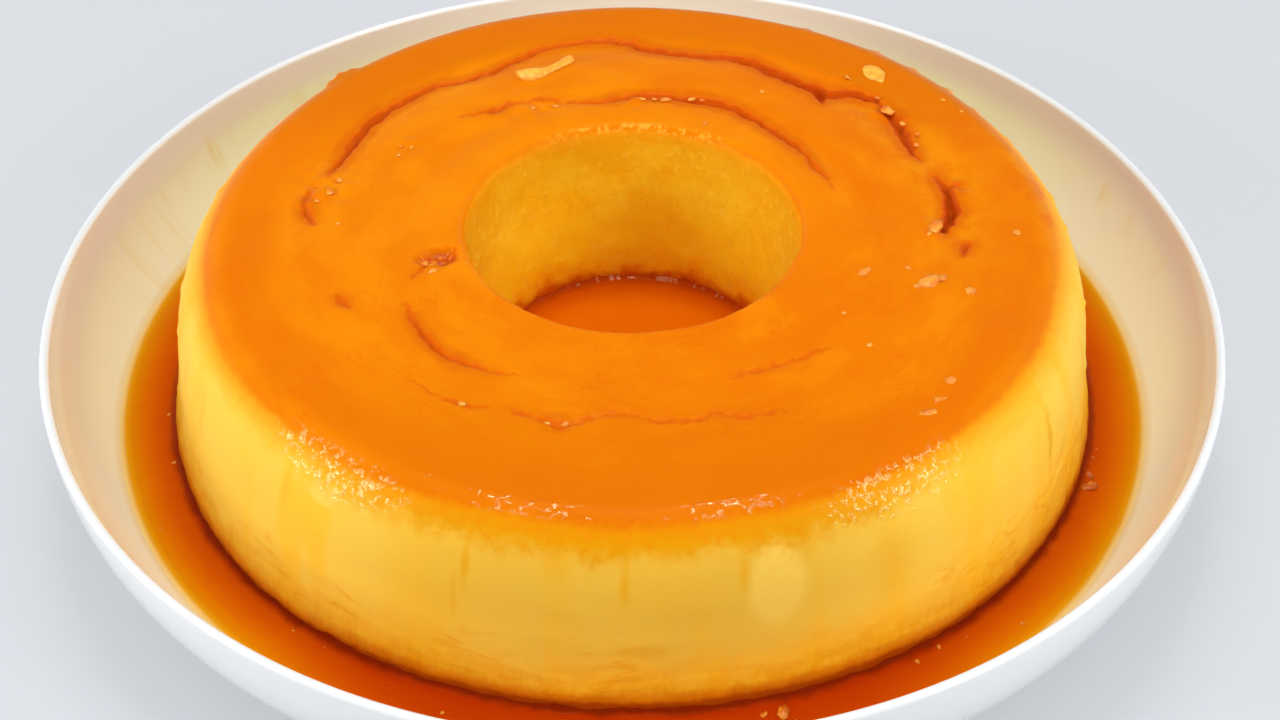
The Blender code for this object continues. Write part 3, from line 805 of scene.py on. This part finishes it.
def ring_finish():
    """Moist yellow custard. Caramel has soaked its top and shoulder orange, and stains its foot."""
    soft = {"Subsurface_Weight": 0.25, "Subsurface_Scale": 3 * MM, "Subsurface_Radius": (1.0, 0.45, 0.12)}
    f = Finish("glazed_custard", IOR=1.36, Specular_IOR_Level=0.16, Specular_Tint=(1, 0.55, 0.2, 1), **soft)
    crack, pit, syrup_and_shade_by_cracks, level = [f.attribute(name) for name in ("crack", "pit", "syrup_and_shade_by_cracks", "level")]
    fine, mottle, cloud = f.noise(700, 3, 0.6), f.noise(420, 4, 0.65), f.noise(38, 3)
    uneven, flecks, tiny = mottle - 0.5, f.noise(640, 2, 0.6) - 0.5, f.noise(1050, 2, 0.55) - 0.5
    front = f.north.rise(-0.72, -0.95)
    side, foot_relief, rough_foot = custard_side(f, front)
    fall = level + uneven * 1.6 + (cloud - 0.5) * 3
    in_hole = f.radius.rise(46, 45) * fall.rise(RING_TOP - 1.6, RING_TOP - 4.0)

    # the glaze thins over the shoulder to a golden film with a ragged lower edge
    edge = level + uneven * 5 + (f.noise(140, 3) - 0.5) * 5 + (cloud - 0.5) * 6
    film = edge.rise(54, 59) * (0.5 + 0.5 * front)
    veins = mottle.rise(0.50, 0.60) * edge.rise(56, 60) * front
    near = level + uneven * 1.6 + (cloud - 0.5) * 1.6 + f.facing(-150, 45) * 0.7
    covered = near.rise(60.8, 62.5)

    # dark syrup in the cracks and the pit
    torn = (crack + (fine - 0.5) * 0.2 + uneven * 0.5).rise(0.08, 0.26)
    deep = (crack + uneven * 0.5).rise(0.50, 0.95)
    syrup = f.mix(crack.rise(0.24, 0.5), (0.67, 0.110, 0.001), (0.55, 0.068, 0.001))
    streaky = (pit + (fine - 0.5) * 0.7).rise(0.15, 0.8)

    crumpled, wrinkled, painted_lip_glints, wet_relief = wet_masks(f, level, uneven, flecks)
    colour = f.layered(
        side,
        # painted shade: the golden film and the glaze's edge take a darker copy of their colour at the front
        (film, f.mix(front, (0.90, 0.39, 0.003), (0.74, 0.315, 0.002))),
        (veins * 0.5, (0.75, 0.25, 0.002)),
        (near.rise(57.8, 61.4) * 0.85, f.mix(front, (0.90, 0.31, 0.0015), (0.74, 0.25, 0.0010))),
        (covered, glaze_colour(f, syrup_and_shade_by_cracks)),
        (in_hole, hole_wall(f, level)),
        (torn * 0.9, f.mix(deep, syrup, (0.46, 0.044, 0.0005))),
        (streaky * 0.9, f.mix(fine.rise(0.5, 0.62), (0.52, 0.062, 0.0005), (0.84, 0.20, 0.002))),
        # painted highlight: pale flecks on the lip
        (painted_lip_glints * 0.55, (0.98, 0.50, 0.05)),
    )
    wet = crumpled.most(wrinkled).most((pit + tiny).rise(0.45, 0.75) * 0.35)
    # painted highlight: the film is paled to cream in the crumpled patches, where the side lights reflect
    painted_highlight_film = f.mix(crumpled * 0.25, colour, (0.98, 0.60, 0.12))
    f.film(wet, Base_Color=painted_highlight_film, Roughness=0.1, IOR=1.6, Specular_IOR_Level=1.0,
           Specular_Tint=(1, 0.88, 0.55, 1), Normal=f.bump(wet_relief + fine * pit * 1.2, 0.45), **soft)

    # relief: grain in the hole and fibres at the foot
    grainy = f.radius.rise(46, 45) * level.rise(RING_TOP - 1.6, RING_TOP - 4.0)
    relief = (tiny * 0.25 + mottle * 0.4) * grainy + foot_relief + fine * (0.05 + 1.0 * pit)
    rough = 0.42 - 0.08 * covered + 0.1 * rough_foot
    return f.feed(Base_Color=colour, Roughness=rough, Normal=f.bump(relief, 0.45, 0.9))


def make_ring():
    """The turned ring, given its uneven shape and the masks that its finish reads."""
    bm = turned(ring_profile(), True, RING_STEPS)
    ring = piece_from("custard_ring", bm, ring_finish(), stands_for=["flan"])
    turned_places = vertex_places(ring.data)
    places, crack, pit, syrup_and_shade_by_cracks = shape_ring(turned_places)
    place_vertices(ring.data, places)
    for name, values in (("crack", crack), ("pit", pit), ("syrup_and_shade_by_cracks", syrup_and_shade_by_cracks), ("level", turned_places[:, 2])):
        store(ring.data, name, values)
    return ring


# ---------------------------------------------------------------- the caramel


def caramel_finish(name, stops, start, end, gleam):
    """Wet amber syrup, with painted shade at the front of the pool and in a band along the ring's foot. The
    stops give its colour between two distances from the axis, in mm.

    Its shore gleams in dashes within an angle to either side of the back, in degrees.
    """
    f = Finish(name, Roughness=0.07, IOR=1.4, Specular_IOR_Level=0.06, Specular_Tint=(1, 0.6, 0.3, 1))
    swirl = (f.noise(30, 3) - 0.5) * 2.5
    away = f.radius + swirl * f.radius.rise(end, end - 4)
    stops = [((stop - start) / (end - start), tint) for stop, tint in stops]
    haze = f.noise(75, 4, 0.6).rise(0.45, 0.7)
    mote = f.cells(300).rise(0.10, 0.03) * f.noise(40, 2).rise(0.45, 0.6)
    shore, outer = f.attribute("shore"), f.radius.rise(60, 110)
    # painted shade: a dark band in the syrup along the ring's foot, stronger towards the front
    thick = (shore**0.45 + (f.noise(170, 3) - 0.5) * 0.7).rise(0.3, 0.8) * outer
    colour = f.layered(
        f.ramp((away - start) / (end - start), stops),
        (haze * 0.10, (0.80, 0.22, 0.004)),
        (mote * 0.4, (0.25, 0.03, 0.001)),
        # painted shade: the front of the pool is darkened where the ring shades it, and the dark band along
        # the foot is laid over it
        (f.north.rise(-0.72, -0.95) * outer * 0.8, (0.48, 0.034, 0.0003)),
        (thick * (0.35 + 0.5 * f.north.rise(0.1, -0.6)), (0.19, 0.012, 0.0002)),
    )
    normal = f.bump(f.noise(55, 2) + shore * f.noise(500, 3) * 1.2, 0.22)
    if gleam:
        broken = f.round_noise(20, 0, 60, 2).rise(0.51, 0.55)
        share = shore.rise(0.08, 0.3) * broken * f.facing(90, gleam).rise(0.0, 0.4)
        f.film(share, Base_Color=colour, Roughness=0.1, IOR=1.5, Specular_IOR_Level=1.0,
               Specular_Tint=(1, 0.70, 0.36, 1), Normal=normal)
    return f.feed(Base_Color=colour, Normal=normal)


def make_pool():
    """Caramel round the ring's foot. It climbs a little up the custard and up the bowl's wall."""
    # from a little inside the custard to a little inside the bowl's wall, and finest at the ring's foot
    inner = RING_RADIUS - 4.2
    foot = RING_RADIUS - 0.6
    outer = wall_radius(CARAMEL_LEVEL + 0.3) + 0.1
    surface = []
    radii = [inner] + list(np.linspace(foot - 1.6, foot + 2.4, 14))
    radii += list(np.linspace(foot + 2.4, outer, 22)[1:])
    for radius in radii:
        climb = 0.12 * math.exp(-(outer - radius) / 0.8)
        surface.append((radius, CARAMEL_LEVEL + climb))
    bed = [(r, wall_height(r) - 0.05) for r in np.linspace(outer, inner, 12)[1:]]
    bm = turned(surface + bed, True, POOL_STEPS)
    stops = [(114, (0.34, 0.022, 0.0003)), (119.6, (0.40, 0.030, 0.0003)), (121.6, (0.58, 0.076, 0.0004)),
             (124.5, (0.63, 0.096, 0.0003)), (128, (0.66, 0.145, 0.0004)), (131.0, (0.67, 0.215, 0.0005)),
             (132.5, (0.72, 0.320, 0.006)), (133.6, (0.82, 0.580, 0.200))]
    finish = caramel_finish("caramel_round_the_foot", stops, 114, 134, 0)
    pool = piece_from("caramel_syrup", bm, finish, stands_for=["caramel_pool"])
    places = vertex_places(pool.data)
    radius, turn = polar(places)
    on_top = ease(places[:, 2], CARAMEL_LEVEL - 0.2, CARAMEL_LEVEL)

    # it follows the ring's foot in at the front, and is ragged where it meets it
    edge = foot + 0.5 - tuck(turn)
    share = (radius - inner) / (outer - inner)
    drawn_in = tuck(turn) * (1 - share) ** 3
    places[:, :2] *= ((radius - drawn_in) / radius)[:, None]
    radius = radius - drawn_in
    shore = np.exp(-(np.maximum(radius - edge, 0) / 0.9))
    ripple = 0.05 * rumple(places, 14, 21)
    ripple += (1.0 + 0.4 * rumple(places, 5.0, 22) + 0.35 * rumple(places, 1.7, 24, 1)) * shore
    places[:, 2] += ripple * on_top
    place_vertices(pool.data, places)
    store(pool.data, "shore", shore * on_top)
    return pool


def make_well():
    """Caramel at the bottom of the ring's hole."""
    # it reaches a little into the custard, so that no gap shows
    wall = HOLE_FOOT_RADIUS + 0.5
    top = []
    for share in np.linspace(0, 1, 40) ** 0.8:
        climb = 1.5 * math.exp((share - 1) * wall / 0.9)
        top.append((share * wall, CARAMEL_LEVEL + climb))
    profile = [(0, FLOOR_HEIGHT)] + line((WELL_RADIUS, FLOOR_HEIGHT), (wall, CARAMEL_LEVEL), 5) + top[::-1]
    bm = turned(profile, False, WELL_STEPS)
    stops = [(0, (0.73, 0.150, 0.0005)), (29, (0.71, 0.140, 0.0005)), (35, (0.62, 0.095, 0.0005)),
             (37.6, (0.42, 0.045, 0.001)), (38.6, (0.36, 0.032, 0.001))]
    finish = caramel_finish("caramel_in_the_hole", stops, 0, 39, 50)
    well = piece_from("caramel_well", bm, finish, stands_for=["caramel_centre"])
    places = vertex_places(well.data)
    radius, _ = polar(places)
    shore = np.exp((radius - wall) / 1.0)
    on_top = ease(places[:, 2], CARAMEL_LEVEL - 0.2, CARAMEL_LEVEL)
    places[:, 2] += on_top * shore * 0.8 * rumple(places, 4, 23)
    place_vertices(well.data, places)
    store(well.data, "shore", shore * on_top)
    return well


# ---------------------------------------------------------------- bits of custard


def bits_finish(name, dark, pale):
    """Moist set custard with tiny holes, in two shades."""
    f = Finish(name, IOR=1.36, Subsurface_Weight=0.3, Subsurface_Scale=1.5 * MM,
               Subsurface_Radius=(1.0, 0.6, 0.2), Coat_Weight=0.3, Coat_Roughness=0.1)
    colour = f.mix(f.noise(420, 3).rise(0.38, 0.62), dark, pale)
    rough = 0.25 + 0.3 * f.noise(900, 2)
    return f.feed(Base_Color=colour, Roughness=rough, Normal=f.bump(f.noise(1100, 3), 0.25))


def top_place(degrees, radius, lift=0):
    """A point at an angle and a distance from the axis, lifted off the ring's top."""
    angle = math.radians(degrees)
    return Vector((radius * math.cos(angle), radius * math.sin(angle), RING_TOP + lift))


def add_crumb(bm, place, size, flatness, seed, turn, length):
    """Adds one uneven lump of custard, of a size, with its middle at a place."""
    made = bmesh.ops.create_icosphere(bm, subdivisions=2, radius=1.0)["verts"]
    spin = Matrix.Rotation(turn, 3, "Z")
    for vert in made:
        bulge = 1 + 0.5 * noise.noise(vert.co * 1.5 + Vector((seed * 3.7, seed, 0)))
        bulge += 0.3 * noise.noise(vert.co * 3.1 + Vector((seed, seed * 2.3, 0)))
        shaped = Vector((vert.co.x * length, vert.co.y, vert.co.z * flatness)) * bulge * size
        vert.co = place + spin @ shaped


def moulded(name, steps, shape, finish, stands_for):
    """A bit of custard made of a ball, each point of which goes where shape says."""
    bm = bmesh.new()
    ball = bmesh.ops.create_uvsphere(bm, u_segments=steps[0], v_segments=steps[1], radius=1.0)["verts"]
    for vert in ball:
        vert.co = shape(vert.co)
    bmesh.ops.recalc_face_normals(bm, faces=bm.faces)
    return piece_from(name, bm, finish, stands_for=stands_for)


def make_shred(finish):
    """The bent thread of custard at the back of the top."""
    reach = SHRED_HIGH - SHRED_LOW
    start = Vector((SHRED_LOW.x + 0.09 * reach.x, SHRED_LOW.y + 0.16 * reach.y, 0))
    end = Vector((SHRED_HIGH.x - 0.06 * reach.x, SHRED_HIGH.y - 0.12 * reach.y, 0))
    across = (end - start).normalized().cross(Vector((0, 0, 1)))

    def shape(point):
        # the ball's own Z runs along the thread
        share = (point.z + 1) / 2
        blunt = math.sqrt(1 - point.z**4) / max(math.sqrt(1 - point.z**2), 0.01)
        fullness = (1.15 - 0.45 * ease(share, 0.3, 0.55) + 0.10 * math.sin(9 * share)) * blunt
        sway = 1.3 * math.sin(math.tau * (share * 0.9 - 0.1))
        middle = start.lerp(end, 0.5 - 0.5 * math.cos(math.pi * min(max(share, 0), 1))) + across * sway
        ridge = 1 + 0.20 * noise.noise(Vector((point.x, point.y, point.z * 5)) * 2.2)
        wide = 2.2 * fullness * ridge
        return middle + across * point.x * wide + Vector((0, 0, RING_TOP + 0.3 + point.y * wide * 0.62))

    return moulded("custard_thread", (40, 28), shape, finish, ["custard_shred"])


def make_flake(finish):
    """The flat leaf-shaped flake near the back edge of the top."""
    centre = (FLAKE_LOW + FLAKE_HIGH) / 2
    turn = Matrix.Rotation(math.radians(113), 3, "Z")

    def shape(point):
        taper = 1 - 0.6 * max(-point.x, 0) ** 1.4
        wobble = 1 + 0.12 * noise.noise(point * 2.1)
        thick = 0.75 * math.copysign(abs(point.z) ** 0.6, point.z)
        flat = Vector((point.x * 4.6, point.y * 2.9 * taper * wobble, thick * wobble))
        return Vector((centre.x, centre.y, RING_TOP + 0.15)) + turn @ flat

    return moulded("custard_leaf", (36, 20), shape, finish, ["custard_flake"])


def make_top_crumbs(finish):
    """Small pale crumbs held by the glaze of the top: (angle, radius in mm, size in mm, length)."""
    spots = [
        (36, 84.6, 2.4, 1.4), (94, 68.3, 1.2, 1), (59, 68.5, 1.2, 1), (-2, 75.6, 3, 1.6), (-4, 74, 1.8, 1),
        (-3, 95.6, 1.9, 1), (-19, 75.9, 3.4, 1.5), (-17, 78.4, 1.9, 1.2), (-21, 73.4, 1.5, 1),
        (-19, 86, 2.8, 0.7), (-20, 60.1, 1.8, 1.8), (-16, 69.7, 1.5, 0.7), (-40, 94.6, 3, 1),
        (-44, 96.6, 2, 1.6), (-47, 97.8, 2, 2), (-41, 73.3, 1.2, 1), (241, 78.4, 1.4, 1), (-36, 62, 0.9, 1),
        (258, 76, 2.4, 1.5), (256, 77.4, 1.3, 1), (81, 55.5, 1.4, 1.9), (84, 55.3, 1, 1.4),
        (88, 55.2, 1.1, 2.2), (74, 57.2, 1.2, 1.5), (71, 57.6, 0.8, 1.4), (171, 78.2, 1.9, 1),
        (167, 77.4, 1.5, 1), (174, 80.4, 1.3, 1), (24, 81.6, 1.2, 1), (31, 83.9, 1.4, 1), (155, 67.5, 1, 1),
        (151, 66.4, 0.9, 1), (202, 52.4, 2.4, 1.5), (199, 53.4, 1.5, 1), (181, 73.5, 0.9, 1),
        (33, 100.2, 1.2, 1), (29, 101, 1, 1), (66, 47.6, 1.3, 1), (118, 57.6, 1.3, 1.4),
        (112, 55.6, 1.1, 1.6), (96, 70.4, 0.8, 1), (152, 69.2, 0.8, 1), (27, 84.6, 1, 1),
        (40, 86.6, 1.2, 1), (48, 88.4, 1, 1.6),
    ]
    bm = bmesh.new()
    for number, (degrees, radius, size, length) in enumerate(spots):
        turn = math.radians(degrees + 90) + 0.5 * math.sin(number * 1.7)
        place = top_place(degrees, radius, -0.05 * size)
        add_crumb(bm, place, size * 0.60, 0.4, number, turn, 1.1 * length)
    return piece_from("crumbs_on_the_glaze", bm, finish)


def make_syrup_crumbs(finish):
    """Soaked crumbs that float in the caramel, most of them against the ring's foot."""
    draw = random.Random(7)
    spots = [(-22, 122.4, 2.2), (-74, 121.9, 2.0), (-73, 126.0, 1.3), (-76, 121.4, 1.0), (-20, 121.6, 1.4)]
    for _ in range(36):
        by_foot = draw.random() < 0.6
        radius = draw.uniform(120.4, 122.4) if by_foot else draw.uniform(122, 130)
        spots.append((draw.uniform(0, 360), radius, draw.uniform(0.25, 0.8)))
    bm = bmesh.new()
    for number, (degrees, radius, size) in enumerate(spots):
        place = top_place(degrees, radius)
        place.z = CARAMEL_LEVEL + 0.05 * size
        add_crumb(bm, place, size * 0.75, 0.5, number + 50, number * 1.3, 1.3)
    return piece_from("crumbs_in_the_caramel", bm, finish)


# ---------------------------------------------------------------- the stage


def make_stage():
    """A plain pale floor."""
    bm = bmesh.new()
    bmesh.ops.create_grid(bm, x_segments=1, y_segments=1, size=4.0)
    mesh = bpy.data.meshes.new("studio_floor")
    bm.to_mesh(mesh)
    bm.free()
    f = Finish("lit_studio_table", Roughness=0.75, Specular_IOR_Level=0.2, Emission_Color=(0.94, 0.955, 1, 1),
               Emission_Strength=0.30)
    shade = f.noise(2.0, 2)
    mesh.materials.append(f.feed(Base_Color=f.mix(shade, (0.36, 0.367, 0.385), (0.38, 0.386, 0.40))))
    floor = bpy.data.objects.new("studio_floor", mesh)
    bpy.context.scene.collection.objects.link(floor)


def add_softbox(name, place, size, power, colour=(1, 1, 1)):
    light = bpy.data.lights.new(name, "AREA")
    light.shape = "RECTANGLE"
    light.size, light.size_y = size
    light.energy = power
    light.color = colour
    box = bpy.data.objects.new(name, light)
    box.location = place
    box.rotation_euler = (Vector((0, 0, 0.03)) - Vector(place)).to_track_quat("-Z", "Y").to_euler()
    bpy.context.scene.collection.objects.link(box)


def light_stage():
    add_softbox("left_softbox", (-0.95, -0.38, 0.44), (0.50, 0.42), 4.8)
    add_softbox("right_softbox", (0.84, -0.46, 0.56), (0.50, 0.42), 4.15)
    add_softbox("back_strip", (0.0, 0.30, 1.0), (0.50, 0.16), 2.35)
    add_softbox("overhead_strip", (0.0, -0.02, 1.1), (0.24, 0.08), 1.1)
    add_softbox("overhead_panel", (0.0, -0.42, 1.42), (1.4, 1.4), 4.25)
    world = bpy.data.worlds.new("pale_room")
    bpy.context.scene.world = world
    world.use_nodes = True
    # the room is pale, and dimmer above the horizon behind the bowl and in front of it
    room = Nodes(world.node_tree)
    place = room.node("ShaderNodeTexCoord", outlet="Generated")
    behind = ROOM_STRENGTH - 0.63 * room.dot(place, (0.0, 0.72, 0.69)).rise(0.70, 0.92)
    before = ROOM_STRENGTH - 0.28 * room.dot(place, (0.0, -0.85, 0.53)).rise(0.70, 0.92)
    ground = room.tree.nodes["Background"]
    ground.inputs["Color"].default_value = (0.93, 0.96, 1.0, 1)
    room.tree.links.new((behind * before).socket, ground.inputs["Strength"])


def set_camera():
    lens = bpy.data.cameras.new("view")
    lens.lens = VIEW_LENS
    lens.sensor_width = SENSOR_WIDTH
    camera = bpy.data.objects.new("view", lens)
    back = Vector((0, -math.cos(VIEW_DOWN), math.sin(VIEW_DOWN)))
    camera.location = VIEW_TARGET + back * VIEW_DISTANCE
    camera.rotation_euler = (-back).to_track_quat("-Z", "Y").to_euler()
    bpy.context.scene.collection.objects.link(camera)
    bpy.context.scene.camera = camera
    bpy.context.scene.view_settings.view_transform = "Standard"


def main():
    set_camera()
    make_stage()
    light_stage()
    make_bowl()
    make_ring()
    make_pool()
    make_well()
    pale = bits_finish("pale_custard_bits", (0.87, 0.34, 0.018), (0.93, 0.47, 0.05))
    make_shred(pale)
    make_flake(pale)
    make_top_crumbs(bits_finish("glazed_crumbs", (0.80, 0.20, 0.005), (0.90, 0.33, 0.03)))
    make_syrup_crumbs(bits_finish("soaked_crumbs", (0.60, 0.11, 0.003), (0.86, 0.30, 0.02)))


main()
